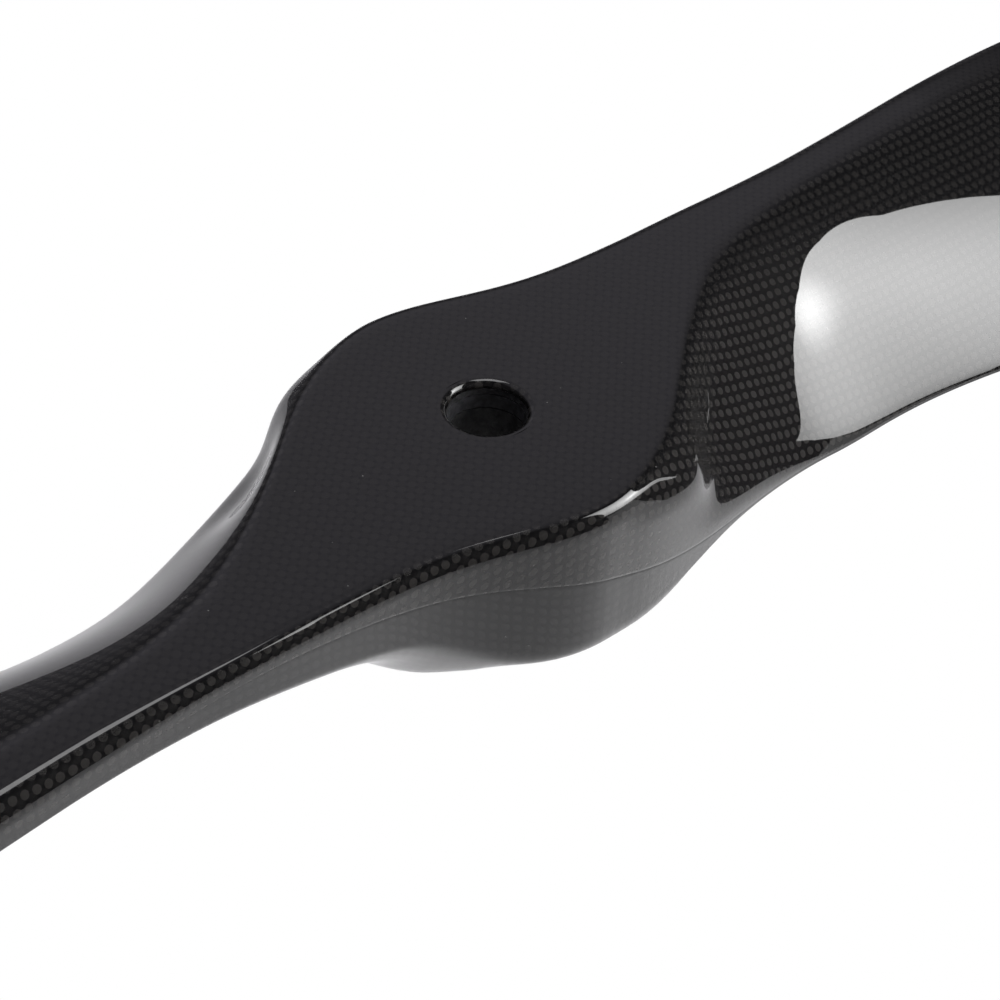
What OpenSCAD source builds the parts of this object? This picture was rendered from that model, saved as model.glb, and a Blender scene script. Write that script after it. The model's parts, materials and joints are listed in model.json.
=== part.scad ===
// Two-blade fixed-pitch propeller, hand-laid carbon laminate on a moulded hub block and foam cores.
// Row frame: millimetres, origin on the bore axis at the rear hub face, +Z along the bore towards
// the front face, +X along one blade. Each blade leads with its +Y side at the +X end.

/* [Propeller] */

// Tip radius of the blades
tip_r = 304.8; // [150:0.1:400]
// Advance per turn of the blade screw surface
pitch = 203.2; // [100:0.1:400]
// Number of fully round millimetres kept at the blade tip
tip_round = 16; // [6:0.5:30]

/* [Hub] */

// Hub thickness between the rear and front faces
hub_h = 22; // [14:0.1:32]
// Hub radius at the outer faces
hub_r = 23.8; // [18:0.1:32]
// Shaft bore radius
bore_r = 5; // [3:0.05:8]
// Rounding of the bore lips
bore_lip = 1; // [0.2:0.1:2]
// Rounding of the front face border
face_round = 2.6; // [1:0.1:4]
// Rounding of the rear face border
foot_round = 1.2; // [0.6:0.1:3]
// Height of the mould parting line at the hub
seam_h = 10.7; // [6:0.1:16]
// Half length of the moulded hub block along the blades
block_x = 27; // [20:0.5:34]

/* [Blade outline] */

// Leading edge distance from the blade axis beside the hub
lead_y = 17.7; // [12:0.1:24]
// Trailing edge distance from the blade axis at the neck
neck_y = 16.2; // [12:0.1:24]
// Extra leading edge distance at the widest station
lead_belly = 4.8; // [0:0.1:12]
// Extra trailing edge distance at the widest station
trail_belly = 11.5; // [0:0.1:20]
// Radius of the widest station
belly_x = 128; // [90:1:180]
// Leading edge sweep towards the tip
lead_sweep = 14.4; // [0:0.1:30]
// Trailing edge sweep towards the tip
trail_sweep = 19; // [0:0.1:35]
// Slope gained per millimetre of radius at the root
root_twist = 0.0125; // [0.005:0.0005:0.02]
// Height of the blade axis above the rear hub face
axis_h = 9.9; // [6:0.1:14]

/* [Blade section] */

// Crest height above the parting line at the leading edge
crest = 4.8; // [2:0.1:8]
// Nose depth below the parting line at the blade
nose = 2.3; // [1:0.1:6]
// Nose depth below the parting line at the root
root_nose = 6.8; // [3:0.1:10]
// Width of the flat land kept along the leading edge
land_w = 7.5; // [3:0.1:14]
// Radial distance over which the hub face narrows to that land
land_x = 32; // [20:0.5:50]
// Camber rise of the front face behind the land
camber = 1.8; // [0:0.1:4]
// Trailing edge thickness
trail_t = 1; // [0.6:0.05:2]
// Height of the trailing wall above the parting line beside the hub
root_wall = 3.2; // [0:0.1:5]
// Depth of the valley where the blade face runs into the hub
valley = 2.4; // [0:0.1:4]
// Distance of that valley from the bore axis
valley_x = 26; // [22:0.5:34]

/* [Laminate] */

// Woven skin thickness, halved towards the tips
skin_t = 0.9; // [0.5:0.05:1.5]
// Glue line left between neighbouring pieces
glue = 0.12; // [0.05:0.01:0.3]
// Thickness of the hub reinforcing plies
ply_t = 0.8; // [0.4:0.05:1.5]
// Spar cap width at the hub
cap_w = 20; // [14:0.5:26]
// Spar cap width at its outer end
cap_w_end = 7; // [4:0.5:12]
// Spar cap thickness at the hub
cap_t = 2; // [1:0.1:3]
// Spar cap thickness at its outer end
cap_t_end = 0.35; // [0.2:0.05:1]
// Radius where the spar caps end
cap_x = 215; // [120:1:240]
// Radius where the foam core ends
core_x = 238; // [150:1:255]
// Radius where the hollow between the skins ends
hollow_x = 270; // [200:1:285]
// Depth of the leading edge roving behind the inner nose
roving_w = 4; // [2:0.1:6]
// Depth of the trailing edge adhesive fillet
bond_w = 5; // [2:0.1:8]

/* [Hidden] */

tip_x = tip_r - tip_round;
eps = 0.01;
sect_n = 24;

// stations along one blade, hub to tip
root_st = [for (i = [0:17]) i * 5];
mid_st = [for (i = [0:9]) 90 + (hollow_x - 90) * i / 9];
end_st = [for (a = [0, 25, 45, 62, 76, 90]) tip_x + tip_round * sin(a)];
stations = mirror_list(concat(root_st, mid_st, end_st));
inner_st = mirror_list(concat(root_st, mid_st));

// ---- small helpers

function lerp(a, b, t) = a + (b - a) * t;
function clamp01(t) = min(max(t, 0), 1);
function ease(x, a, b) = let (t = clamp01((x - a) / (b - a))) t * t * (3 - 2 * t);
function fade(x, w, n) = exp(-pow(x / w, n));
function rev(v) = [for (i = [len(v) - 1:-1:0]) v[i]];
function mirror_list(v) = concat([for (i = [len(v) - 1:-1:1]) -v[i]], v);

// ---- planform and twist, as functions of the distance x from the bore axis

function tip_q(x) = x <= tip_x ? 1 : sqrt(max(1 - pow((x - tip_x) / tip_round, 2), 0.02));
function lead_raw(x) =
    lead_y + (hub_r - lead_y) * fade(x, 17, 2) + lead_belly * ease(x, 52, belly_x)
    - lead_sweep * pow(max(0, (x - belly_x) / (tip_r - belly_x)), 2);
function trail_raw(x) =
    -hub_r + (hub_r - neck_y) * ease(x, 4, 48) - trail_belly * ease(x, 56, belly_x)
    + trail_sweep * pow(max(0, (x - belly_x) / (tip_r - belly_x)), 1.6);
function mid_y(x) = (lead_raw(x) + trail_raw(x)) / 2;
function lead(x) = mid_y(x) + (lead_raw(x) - mid_y(x)) * tip_q(x);
function trail(x) = mid_y(x) + (trail_raw(x) - mid_y(x)) * tip_q(x);
function screw(x) =
    let (root = root_twist * x + 1e-9, helix = pitch / (2 * PI) / max(x, 1e-6))
    pow(pow(root, -4) + pow(helix, -4), -0.25);
function axis_z(x) = lerp(seam_h, axis_h, ease(x, 15, 60));
function seam_z(x, y) = axis_z(x) + (y - (lead(x) + trail(x)) / 2) * screw(x);

// ---- section outlines as control polygons: k = 0 for the outside face, 1 for the inside face

function wall(x) = skin_t * lerp(1, 0.5, ease(x, 110, 250));
function taper(x) = lerp(1, 0.4, ease(x, 90, 265)) * pow(tip_q(x), 0.6);
function bulge(x) = camber * ease(x, 25, 75) * taper(x);
function crest_z(x) =
    min(hub_h, lerp(hub_h, seam_z(x, lead(x)) + crest * taper(x), ease(x, 60, 115)));
function face_w(x) =
    (land_w + (2 * hub_r - land_w) * fade(x, land_x, 1.8)) * lerp(1, 0.6, ease(x, 90, tip_r))
    * tip_q(x);
function inner_land(x) = lerp(0, 6.1, ease(x, 35, 105)) * lerp(1, 0.4, ease(x, 200, hollow_x));
function edge_y(x, s) = lead(x) - s;
function tail_y(x, s) = trail(x) + (s > 0 ? s + inner_land(x) : 0);
function tail_t(s) = s > 0 ? 0.3 : trail_t;

function front_ctrl(x, k) =
    let (s = k * wall(x), l = edge_y(x, s), t = tail_y(x, s),
         zl = seam_z(x, l), zt = seam_z(x, t), top = crest_z(x) - s,
         h = fade(x, 19, 6), tt = tail_t(s) * (s > 0 ? 1 : taper(x)),
         b0 = [lead(x) - face_w(x), crest_z(x)],
         fall = atan2(b0[1] - seam_z(x, trail(x)), b0[0] - trail(x)),
         b = [min(b0[0] + s * tan(fall / 2), l - 1.2), top],
         e = [t, zt + tt / 2 + root_wall * (1 - h) * fade(x, 42, 5)],
         span = norm(e - b), n = [-(b - e)[1], (b - e)[0]] / span,
         m = lerp(b, e, 0.5) + n * (bulge(x) - valley * (1 - h) * fade(x - valley_x, 8, 2)),
         d = (m - b) / norm(m - b),
         big = ease(x, 50, 110),
         rl = min(lerp(face_round, 6, big), lerp(0.75, 0.9, big) * (top - zl)),
         w = min(lerp(face_round, 5.5, big), 0.4 * (l - b[0])),
         rb = min(lerp(face_round, 7, ease(x, 35, 70)), 0.25 * span),
         rw = min(rb, 0.25 * (l - b[0])),
         dl = top - rl - zl, dt = top - rb - zt,
         c6 = [l - 1.5 * w, top], c9 = b + [1.5 * rw, 0])
    [[l, zl], [l, zl + 0.3 * dl], [l, zl + 0.6 * dl], [l, zl + 0.9 * dl],
     [l, top - 0.5 * rl], [l - 0.5 * w, top], c6, lerp(c6, c9, 1 / 3), lerp(c6, c9, 2 / 3),
     c9, b + [0.5 * rw, 0], b + d * 0.5 * rb,
     lerp(lerp(b + d * rb, m, 0.8), [t, zt + 0.9 * dt], h),
     lerp(lerp(m, e, 0.45), [t, zt + 0.6 * dt], h),
     lerp(e, [t, zt + 0.3 * dt], h), [t, zt]];

function foot_w(x) = 6 + (hub_r - 6) * fade(x, 22, 3);
function rear_ctrl(x, k) =
    let (s = k * wall(x), l = edge_y(x, s), t = tail_y(x, s),
         zl = seam_z(x, l), zt = seam_z(x, t),
         h = fade(x, 15, 2), g = fade(x, 20, 3), flat = 1 - ease(x, 20, 38),
         depth = lerp(root_nose, nose, ease(x, 28, 75)) * taper(x),
         zb = lerp(seam_z(x, lead(x)) - depth, 0, g) + s,
         ze = s > 0 ? lerp(zt - tail_t(s) / 2, s, g) : lerp(zt - trail_t * taper(x) / 2, 0, g),
         r = lerp(min(3, 0.08 * (l - t)), foot_round, g),
         f = min(foot_w(x), 0.42 * (l - t)) - s * h,
         under = function (y) lerp(zb, ze, (l - y) / (l - t)),
         up = function (y) lerp(under(y), s, flat),
         mid = (l + t) / 2 * (1 - flat), big = ease(x, 50, 110),
         a = [mid + f, up(mid + f)], c = [mid - f, up(mid - f)],
         dl = zl - zb, dt = zt - ze, v = f * lerp(0.9, 0.75, h))
    [[l, zl], [l, zl - lerp(0.35, 0.15, big) * dl], [l, zl - lerp(0.7, 0.35, big) * dl],
     [l, zb + lerp(min(0.5 * r, 0.2 * dl), 0.4 * dl, big)],
     [l - lerp(0.5, 0.8, big) * r, lerp(zb, up(l - 1.6 * r), 0.25)],
     lerp([l - 1.5 * r, lerp(zb, up(l - 1.6 * r), lerp(0.9, 1, flat))], a, lerp(0.4, 0, h)),
     [mid + v, up(mid + v)],
     [mid + 0.2 * f, up(mid + 0.2 * f)], [mid - 0.2 * f, up(mid - 0.2 * f)],
     [mid - v, up(mid - v)],
     lerp([t + 1.5 * r, lerp(ze, up(t + 1.6 * r), lerp(0.9, 1, flat))], c, lerp(0.4, 0, h)),
     [t + 0.5 * r, lerp(ze, up(t + 1.6 * r), 0.25)],
     [t, ze + min(0.5 * r, 0.2 * dt)], [t, lerp(ze + 0.2 * dt, zt - 0.7 * dt, h)],
     [t, lerp(ze + 0.5 * dt, zt - 0.35 * dt, h)], [t, zt]];

// ---- smooth curve through a control polygon, n pieces, and the four skin faces

function basis(t) = [pow(1 - t, 3), 3 * pow(t, 3) - 6 * t * t + 4,
                     -3 * pow(t, 3) + 3 * t * t + 3 * t + 1, pow(t, 3)] / 6;
function curve(c, n) =
    let (p = concat([c[0], c[0]], c, [c[len(c) - 1], c[len(c) - 1]]), m = len(p) - 3)
    [for (s = [0:n])
        let (q = s / n * m, i = min(floor(q), m - 1), b = basis(q - i))
        b[0] * p[i] + b[1] * p[i + 1] + b[2] * p[i + 2] + b[3] * p[i + 3]];

// a section at signed x, listed from the +Y side to the -Y side
function turned(x, c) = x < 0 ? [for (p = rev(c)) [-p[0], p[1]]] : c;
function front_curve(x, k) = turned(x, curve(front_ctrl(abs(x), k), sect_n));
function rear_curve(x, k) = turned(x, curve(rear_ctrl(abs(x), k), sect_n));
function at_x(x, c) = [for (p = c) [x, p[0], p[1]]];

// ---- closed solids from point grids

function grid_faces(m, n, o, flip) =
    [for (i = [0:m - 2], k = [0:n - 2])
        let (a = o + i * n + k, b = a + 1, c = a + n + 1, d = a + n)
        each flip ? [[a, b, c], [a, c, d]] : [[a, c, b], [a, d, c]]];
function strip_faces(p, q, flip) =
    [for (i = [0:len(p) - 2])
        each flip ? [[p[i], q[i], q[i + 1]], [p[i], q[i + 1], p[i + 1]]]
                  : [[p[i], q[i + 1], q[i]], [p[i], p[i + 1], q[i + 1]]]];
function edge_ids(m, n, o, k) = [for (i = [0:m - 1]) o + i * n + k];
function row_ids(n, o, i) = [for (k = [0:n - 1]) o + i * n + k];

// solid between an upper grid and a lower grid of the same shape
module slab(a, b) {
    m = len(a);
    n = len(a[0]);
    o = m * n;
    polyhedron(
        points = concat([for (r = a) each r], [for (r = b) each r]),
        faces = concat(
            grid_faces(m, n, 0, false), grid_faces(m, n, o, true),
            strip_faces(edge_ids(m, n, 0, 0), edge_ids(m, n, o, 0), true),
            strip_faces(edge_ids(m, n, 0, n - 1), edge_ids(m, n, o, n - 1), false),
            strip_faces(row_ids(n, 0, 0), row_ids(n, o, 0), false),
            strip_faces(row_ids(n, 0, m - 1), row_ids(n, o, m - 1), true)),
        convexity = 8);
}

// half-shell between an outer and an inner grid. The inner grid stops t rows short at both ends,
// and beyond it the shell is solid down to the seam surface.
module shell(out, inn, t, flip) {
    m = len(out);
    n = len(out[0]);
    o = m * n;
    u = n - 1;
    mi = m - 2 * t;
    h = (m - 1 - t) * n;
    e = (m - 1) * n;
    ih = o + (mi - 1) * n;
    rungs = [for (i = [0:t - 2], r = [i * n, h + (i + 1) * n])
        each [[r + n, r, r + u], [r + n, r + u, r + n + u]]];
    far = [[h + n, h, ih], [h + n, ih, ih + u], [h + n, ih + u, h + n + u],
           [h + n + u, ih + u, h + u]];
    g = (t - 1) * n;
    back = [[g + u, g + n + u, o + u], [g + u, o + u, o], [g + u, o, g], [g, o, g + n]];
    c = floor(3 * n / 4);
    d = u - c;
    caps = [for (k = [0:u])
        let (j = (k + 1) % n)
        each [if (k != c && j != c) each [[e + c, e + j, e + k], [ih + c, ih + k, ih + j]],
              if (k != d && j != d) each [[d, k, j], [o + d, o + j, o + k]]]];
    tris = concat(
        grid_faces(m, n, 0, false), grid_faces(mi, n, o, true),
        strip_faces([for (i = [t:m - 1 - t]) i * n], edge_ids(mi, n, o, 0), true),
        strip_faces([for (i = [t:m - 1 - t]) i * n + u], edge_ids(mi, n, o, u), false),
        rungs, far, back, caps);
    polyhedron(points = concat([for (r = out) each r], [for (r = inn) each r]),
               faces = flip ? [for (f = tris) rev(f)] : tris, convexity = 8);
}

// shaft bore with rounded lips, cut through every hub piece
module bore_cut() {
    lip = [for (a = [0:15:90]) [bore_r + bore_lip * (1 - cos(a)), hub_h - bore_lip * (1 - sin(a))]];
    rotate_extrude($fn = 96)
        polygon(concat([[0, -1], [bore_r + bore_lip, -1]],
                       [for (p = rev(lip)) [p[0], hub_h - p[1]]], lip,
                       [[bore_r + bore_lip, hub_h + 1], [0, hub_h + 1]]));
}

// ---- room inside the skins, for x >= 0

function room(x) = [curve(front_ctrl(x, 1), sect_n), curve(rear_ctrl(x, 1), sect_n)];
function high_y(x) = edge_y(x, wall(x)) - glue;
function low_y(x) = tail_y(x, wall(x)) + glue;
function steps(a, b) =
    concat([a], [for (x = inner_st) if (x > a + 0.5 && x < b - 0.5) x], [b]);

// section of a filling: upper and lower lists over the y values ys, set in by up and dn
function fill(x, r, ys, up, dn) =
    [[for (y = ys) [y, lookup(y, r[0]) - up(y)]], [for (y = ys) [y, lookup(y, r[1]) + dn(y)]]];
function upper(x, sec) = at_x(x, turned(x, sec[0]));
function lower(x, sec) = at_x(x, turned(x, sec[1]));
module filling(xs, sect) {
    secs = [for (x = xs) sect(abs(x))];
    slab([for (i = [0:len(xs) - 1]) upper(xs[i], secs[i])],
         [for (i = [0:len(xs) - 1]) lower(xs[i], secs[i])]);
}

// ---- spar cap position and thickness

ply_x = block_x - 1;
function ply_drop(x) = (ply_t + glue) * (1 - ease(x, block_x + 0.5, block_x + 9));
function cap_half(x) = lerp(cap_w, cap_w_end, ease(x, 10, cap_x)) / 2;
function cap_mid(x) = lerp(0, lead(x) - 12, ease(x, 15, 60));
function cap_high(x) = min(cap_mid(x) + cap_half(x), high_y(x) - roving_w - 2 * glue);
function cap_low(x) = cap_mid(x) - cap_half(x);
function cap_thick(x) = lerp(cap_t, cap_t_end, ease(x, 20, cap_x));
function in_cap(x, y) = y < cap_high(x) + glue && y > cap_low(x) - glue && x <= cap_x + glue;
function cap_room(x, y) = in_cap(x, y) ? cap_thick(x) + glue : 0;
function cap_ys(x) = [for (k = [0:6]) lerp(cap_high(x), cap_low(x), k / 6)];
function cap_edges(x) =
    [cap_high(x) + glue, cap_high(x) + glue - eps,
     for (k = [1:4]) lerp(cap_high(x), cap_low(x), k / 5),
     cap_low(x) - glue + eps, cap_low(x) - glue];
function steep(a, b, n) = [for (k = [1:n - 1]) lerp(a, b, k / n)];
function near(a, b) = [a, for (f = [0.05, 0.15, 0.3, 0.55]) lerp(a, b, f)];

// ---- sections of the inner pieces

function block_sect(x) =
    let (r = room(x), d = ply_t + 2 * glue,
         ys = concat(near(high_y(x), cap_high(x)), cap_edges(x), rev(near(low_y(x), cap_low(x)))))
    fill(x, r, ys, function (y) d + cap_room(x, y), function (y) d + cap_room(x, y));

function front_ply_sect(x) =
    let (r = room(x), a = high_y(x) - 1.5, b = max(lead(x) - face_w(x) + 1.8, low_y(x) + 1.5),
         ys = [for (k = [0:12]) lerp(a, b, k / 12)], t = [for (y = ys) lookup(y, r[0]) - glue])
    [[for (k = [0:12]) [ys[k], t[k]]], [for (k = [0:12]) [ys[k], t[k] - ply_t]]];
function rear_ply_sect(x) =
    let (r = room(x), a = min(foot_w(x), high_y(x) - 1.5), b = max(-foot_w(x), low_y(x) + 1.5),
         ys = [for (k = [0:12]) lerp(a, b, k / 12)], t = [for (y = ys) lookup(y, r[1]) + glue])
    [[for (k = [0:12]) [ys[k], t[k] + ply_t]], [for (k = [0:12]) [ys[k], t[k]]]];

function front_cap_sect(x) =
    let (r = room(x), ys = cap_ys(x), t = [for (y = ys) lookup(y, r[0]) - glue - ply_drop(x)])
    [[for (k = [0:6]) [ys[k], t[k]]], [for (k = [0:6]) [ys[k], t[k] - cap_thick(x)]]];
function rear_cap_sect(x) =
    let (r = room(x), ys = cap_ys(x), t = [for (y = ys) lookup(y, r[1]) + glue + ply_drop(x)])
    [[for (k = [0:6]) [ys[k], t[k] + cap_thick(x)]], [for (k = [0:6]) [ys[k], t[k]]]];

function core_high(x) = high_y(x) - roving_w - glue;
function core_low(x) = low_y(x) + 1 + bond_w * shrink(x) + glue;
function shrink(x) = lerp(0.3, 1, ease(x, 30, 60)) * lerp(1, 0.6, ease(x, 180, hollow_x));
function core_sect(x) =
    let (r = room(x),
         ys = concat([core_high(x), lerp(core_high(x), cap_high(x) + glue, 0.5)], cap_edges(x),
                     steep(cap_low(x) - glue, core_low(x), 6), [core_low(x)]),
         d = function (y) glue + (in_cap(x, y) ? ply_drop(x) : 0) + cap_room(x, y))
    fill(x, r, ys, d, d);
function roving_sect(x) =
    let (r = room(x), ys = [for (f = [0, 0.03, 0.1, 0.25, 0.5, 0.75, 1]) high_y(x) - f * roving_w])
    fill(x, r, ys, function (y) glue, function (y) glue);
function bond_sect(x) =
    let (r = room(x), a = low_y(x) + 1, ys = [for (f = [1, 0.66, 0.33, 0]) a + f * bond_w * shrink(x)])
    fill(x, r, ys, function (y) glue, function (y) glue);
function tip_sect(x) =
    let (r = room(x), ys = concat(near(high_y(x), cap_mid(x)),
                                  steep(cap_mid(x), low_y(x) + 1, 6), [low_y(x) + 1]))
    fill(x, r, ys, function (y) glue, function (y) glue);

// ---- pieces

module front_skin()
    color([0.08, 0.08, 0.085])
        difference() {
            shell([for (x = stations) at_x(x, front_curve(x, 0))],
                  [for (x = inner_st) at_x(x, front_curve(x, 1))],
                  len(end_st), false);
            bore_cut();
        }

module rear_skin()
    color([0.1, 0.1, 0.105])
        difference() {
            shell([for (x = stations) at_x(x, rear_curve(x, 0))],
                  [for (x = inner_st) at_x(x, rear_curve(x, 1))],
                  len(end_st), true);
            bore_cut();
        }

module hub_block()
    color([0.16, 0.16, 0.17])
        difference() {
            filling(steps(-block_x, block_x), function (x) block_sect(x));
            bore_cut();
        }

module front_hub_plies()
    color([0.12, 0.12, 0.13])
        difference() {
            filling(steps(-ply_x, ply_x), function (x) front_ply_sect(x));
            bore_cut();
        }

module rear_hub_plies()
    color([0.12, 0.12, 0.13])
        difference() {
            filling(steps(-ply_x, ply_x), function (x) rear_ply_sect(x));
            bore_cut();
        }

module front_spar_cap()
    color([0.2, 0.2, 0.22])
        difference() {
            filling(steps(-cap_x, cap_x), function (x) front_cap_sect(x));
            bore_cut();
        }

module rear_spar_cap()
    color([0.2, 0.2, 0.22])
        difference() {
            filling(steps(-cap_x, cap_x), function (x) rear_cap_sect(x));
            bore_cut();
        }

module blade_core_right()
    color([0.9, 0.86, 0.7])
        filling(concat(steps(block_x + glue, cap_x + glue), steps(cap_x + glue + eps, core_x)),
                function (x) core_sect(x));

module blade_core_left()
    rotate([0, 0, 180])
        blade_core_right();

module leading_edge_roving_right()
    color([0.14, 0.14, 0.16])
        filling(steps(block_x + glue, core_x), function (x) roving_sect(x));

module leading_edge_roving_left()
    rotate([0, 0, 180])
        leading_edge_roving_right();

module trailing_edge_bond_right()
    color([0.45, 0.4, 0.3])
        filling(steps(block_x + glue, core_x), function (x) bond_sect(x));

module trailing_edge_bond_left()
    rotate([0, 0, 180])
        trailing_edge_bond_right();

module tip_block_right()
    color([0.25, 0.24, 0.22])
        filling(steps(core_x + glue, hollow_x - glue), function (x) tip_sect(x));

module tip_block_left()
    rotate([0, 0, 180])
        tip_block_right();

front_skin();
rear_skin();
hub_block();
front_hub_plies();
rear_hub_plies();
front_spar_cap();
rear_spar_cap();
blade_core_right();
blade_core_left();
leading_edge_roving_right();
leading_edge_roving_left();
trailing_edge_bond_right();
trailing_edge_bond_left();
tip_block_right();
tip_block_left();
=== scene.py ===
import json
import math

import bmesh
import bpy
import numpy as np
from mathutils import Matrix, Quaternion, Vector


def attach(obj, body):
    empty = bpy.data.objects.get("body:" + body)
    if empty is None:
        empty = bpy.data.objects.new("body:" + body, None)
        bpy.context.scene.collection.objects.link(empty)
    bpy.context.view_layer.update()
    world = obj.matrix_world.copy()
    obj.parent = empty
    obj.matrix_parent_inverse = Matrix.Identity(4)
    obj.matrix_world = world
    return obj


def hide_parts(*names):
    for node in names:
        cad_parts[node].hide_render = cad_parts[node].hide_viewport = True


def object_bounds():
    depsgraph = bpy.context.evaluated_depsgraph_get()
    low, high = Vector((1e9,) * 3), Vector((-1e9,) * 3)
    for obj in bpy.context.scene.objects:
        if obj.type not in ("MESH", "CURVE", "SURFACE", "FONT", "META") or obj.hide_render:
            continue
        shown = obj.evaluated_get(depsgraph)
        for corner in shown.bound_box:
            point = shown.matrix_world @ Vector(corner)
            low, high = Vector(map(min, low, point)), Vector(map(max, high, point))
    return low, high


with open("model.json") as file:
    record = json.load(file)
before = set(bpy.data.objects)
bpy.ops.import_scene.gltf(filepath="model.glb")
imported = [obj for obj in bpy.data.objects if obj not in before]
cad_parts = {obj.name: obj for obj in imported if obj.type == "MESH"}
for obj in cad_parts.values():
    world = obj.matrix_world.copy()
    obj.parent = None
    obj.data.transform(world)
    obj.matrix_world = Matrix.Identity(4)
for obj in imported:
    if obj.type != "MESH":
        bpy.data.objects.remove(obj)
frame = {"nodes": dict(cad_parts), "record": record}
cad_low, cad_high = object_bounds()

MM = 0.001

# ---- driving dimensions, in millimetres, as in the part's source ---------------------------------

mounts = {m["name"]: m for m in frame["record"]["mounts"]}
TIP_R = cad_high.x / MM
HUB_H = cad_high.z / MM
BORE_R = mounts["bore"]["dims"]["r_mm"]
PITCH = 203.2        # advance per turn of the blade's screw surface
TIP_ROUND = 16.0     # length of the rounded tip
HUB_R = 23.8         # hub radius at the outer faces
BORE_LIP = 1.0       # rounding of the bore lips
FACE_ROUND = 2.6     # rounding of the front face border
FOOT_ROUND = 1.2     # rounding of the rear face border
LEAD_ROUND = 6.0     # roundings on the blade: of the leading edge
LAND_ROUND = 5.5     # where the land meets it
SLOPE_ROUND = 7.0    # where the slope to the trailing edge begins
REAR_ROUND = 3.0     # and of the rear face border
SEAM_H = 10.7        # height of the parting line at the hub
LEAD_Y = 17.7        # leading edge, from the blade axis, beside the hub
NECK_Y = 16.2        # trailing edge, from the blade axis, at the neck
LEAD_BELLY = 4.8     # extra reach of the leading edge at the widest station
TRAIL_BELLY = 11.5   # extra reach of the trailing edge there
BELLY_X = 128.0      # distance of the widest station
LEAD_SWEEP = 14.4    # sweep of the leading edge towards the tip
TRAIL_SWEEP = 19.0   # sweep of the trailing edge
ROOT_TWIST = 0.0125  # slope gained per millimetre at the root
AXIS_H = 9.9         # height of the blade axis
CREST = 4.8          # crest height above the parting line
NOSE = 2.3           # nose depth below the parting line, on the blade
ROOT_NOSE = 6.8      # nose depth at the root
LAND_W = 7.5         # width of the flat land along the leading edge
LAND_X = 32.0        # distance over which the hub face narrows to that land
CAMBER = 1.8         # rise of the front face behind the land
ROOT_WALL = 3.2      # height of the trailing wall beside the hub
VALLEY = 2.4         # depth of the valley where the blade runs into the hub
VALLEY_X = 26.0      # distance of the valley
TRAIL_T = 1.0        # trailing edge thickness
INNER_TRAIL_T = 0.3  # thickness of the hollow at its trailing edge
INNER_LAND = 6.1     # width of the glued land behind the trailing edge
FOOT_END_W = 6.0     # half width of the rear land along the blade
SKIN_T = 0.9         # thickness of a skin at the hub
HOLLOW_X = 270.0     # distance at which the hollow ends
TIP_X = TIP_R - TIP_ROUND

# shares of the root's value that are left towards the tip
TIP_SKIN = 0.5
TIP_SECTION = 0.4
TIP_FACE = 0.6
TIP_LAND = 0.4
TIP_CHORD_SQUARED = 0.02

# ranges of x over which one shape eases into the next
NECK_EASE = (4, 48)
LEAD_EASE = (52, BELLY_X)
TRAIL_EASE = (56, BELLY_X)
AXIS_EASE = (15, 60)
SKIN_EASE = (110, 250)
TAPER_EASE = (90, 265)
CREST_EASE = (60, 115)
FACE_EASE = (90, TIP_R)
LAND_EASE = (35, 105)
LAND_END_EASE = (200, HOLLOW_X)
CAMBER_EASE = (25, 75)
ROUND_EASE = (35, 70)
BLADE_EASE = (50, 110)
NOSE_EASE = (28, 75)
LEVEL_EASE = (20, 38)

# width and power of the bell curves that hold the hub's shapes
HUB_OUTLINE_BELL = (17, 2)
HUB_FACE_BELL = (LAND_X, 1.8)
FRONT_HUB_BELL = (19, 6)
ROOT_WALL_BELL = (42, 5)
VALLEY_BELL = (8, 2)
FOOT_BELL = (22, 3)
REAR_HUB_BELL = (15, 2)
REAR_FACE_BELL = (20, 3)
GROOVE_BELL = (45, 4)

TOW = 1.08          # width of one tow of the cloth
SEAM_GROOVE = 0.03  # depth of the parting line
GROOVE_W = 0.12     # its half width
OUT_COLS = 112      # pieces round an outside face
IN_COLS = 32        # pieces round an inside face
HUB_STEP = 0.8      # distance between sections near the hub
HUB_ROWS_END = 110  # end of those sections
BLADE_ROWS = 86     # sections from there to the tip rounding
TIP_STEP = 5        # degrees between sections round the tip
OUT_OPENING = 8.0   # half size of the square opening left round the bore, outside
IN_OPENING = 8.5    # the same on the inside face
LIP_RINGS = 10      # rings round the bore lip
LIP_BORDER = 0.15   # flat ring just outside the lip
FRONT_COL = 0.47    # where round a face the cloth is measured from, as a share of its columns
REAR_COL = 0.5


# ---- the blade's shape, by distance x from the bore axis -----------------------------------------

def lerp(a, b, t):
    return a + (b - a) * t


def ease(x, a, b):
    """0 before a, 1 after b, smooth between."""
    t = min(max((x - a) / (b - a), 0.0), 1.0)
    return t * t * (3 - 2 * t)


def fade(x, width, power):
    """1 at x = 0, falling off in a bell curve."""
    return math.exp(-((x / width) ** power))


def tip_q(x):
    """Share of the chord that is left at x, less than 1 only in the tip rounding."""
    return 1.0 if x <= TIP_X else math.sqrt(max(1 - ((x - TIP_X) / TIP_ROUND) ** 2,
                                                 TIP_CHORD_SQUARED))


def past_belly(x):
    return max(0.0, (x - BELLY_X) / (TIP_R - BELLY_X))


def lead_raw(x):
    return (LEAD_Y + (HUB_R - LEAD_Y) * fade(x, *HUB_OUTLINE_BELL)
            + LEAD_BELLY * ease(x, *LEAD_EASE) - LEAD_SWEEP * past_belly(x) ** 2)


def trail_raw(x):
    return (-HUB_R + (HUB_R - NECK_Y) * ease(x, *NECK_EASE)
            - TRAIL_BELLY * ease(x, *TRAIL_EASE) + TRAIL_SWEEP * past_belly(x) ** 1.6)


def mid_y(x):
    return (lead_raw(x) + trail_raw(x)) / 2


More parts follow.
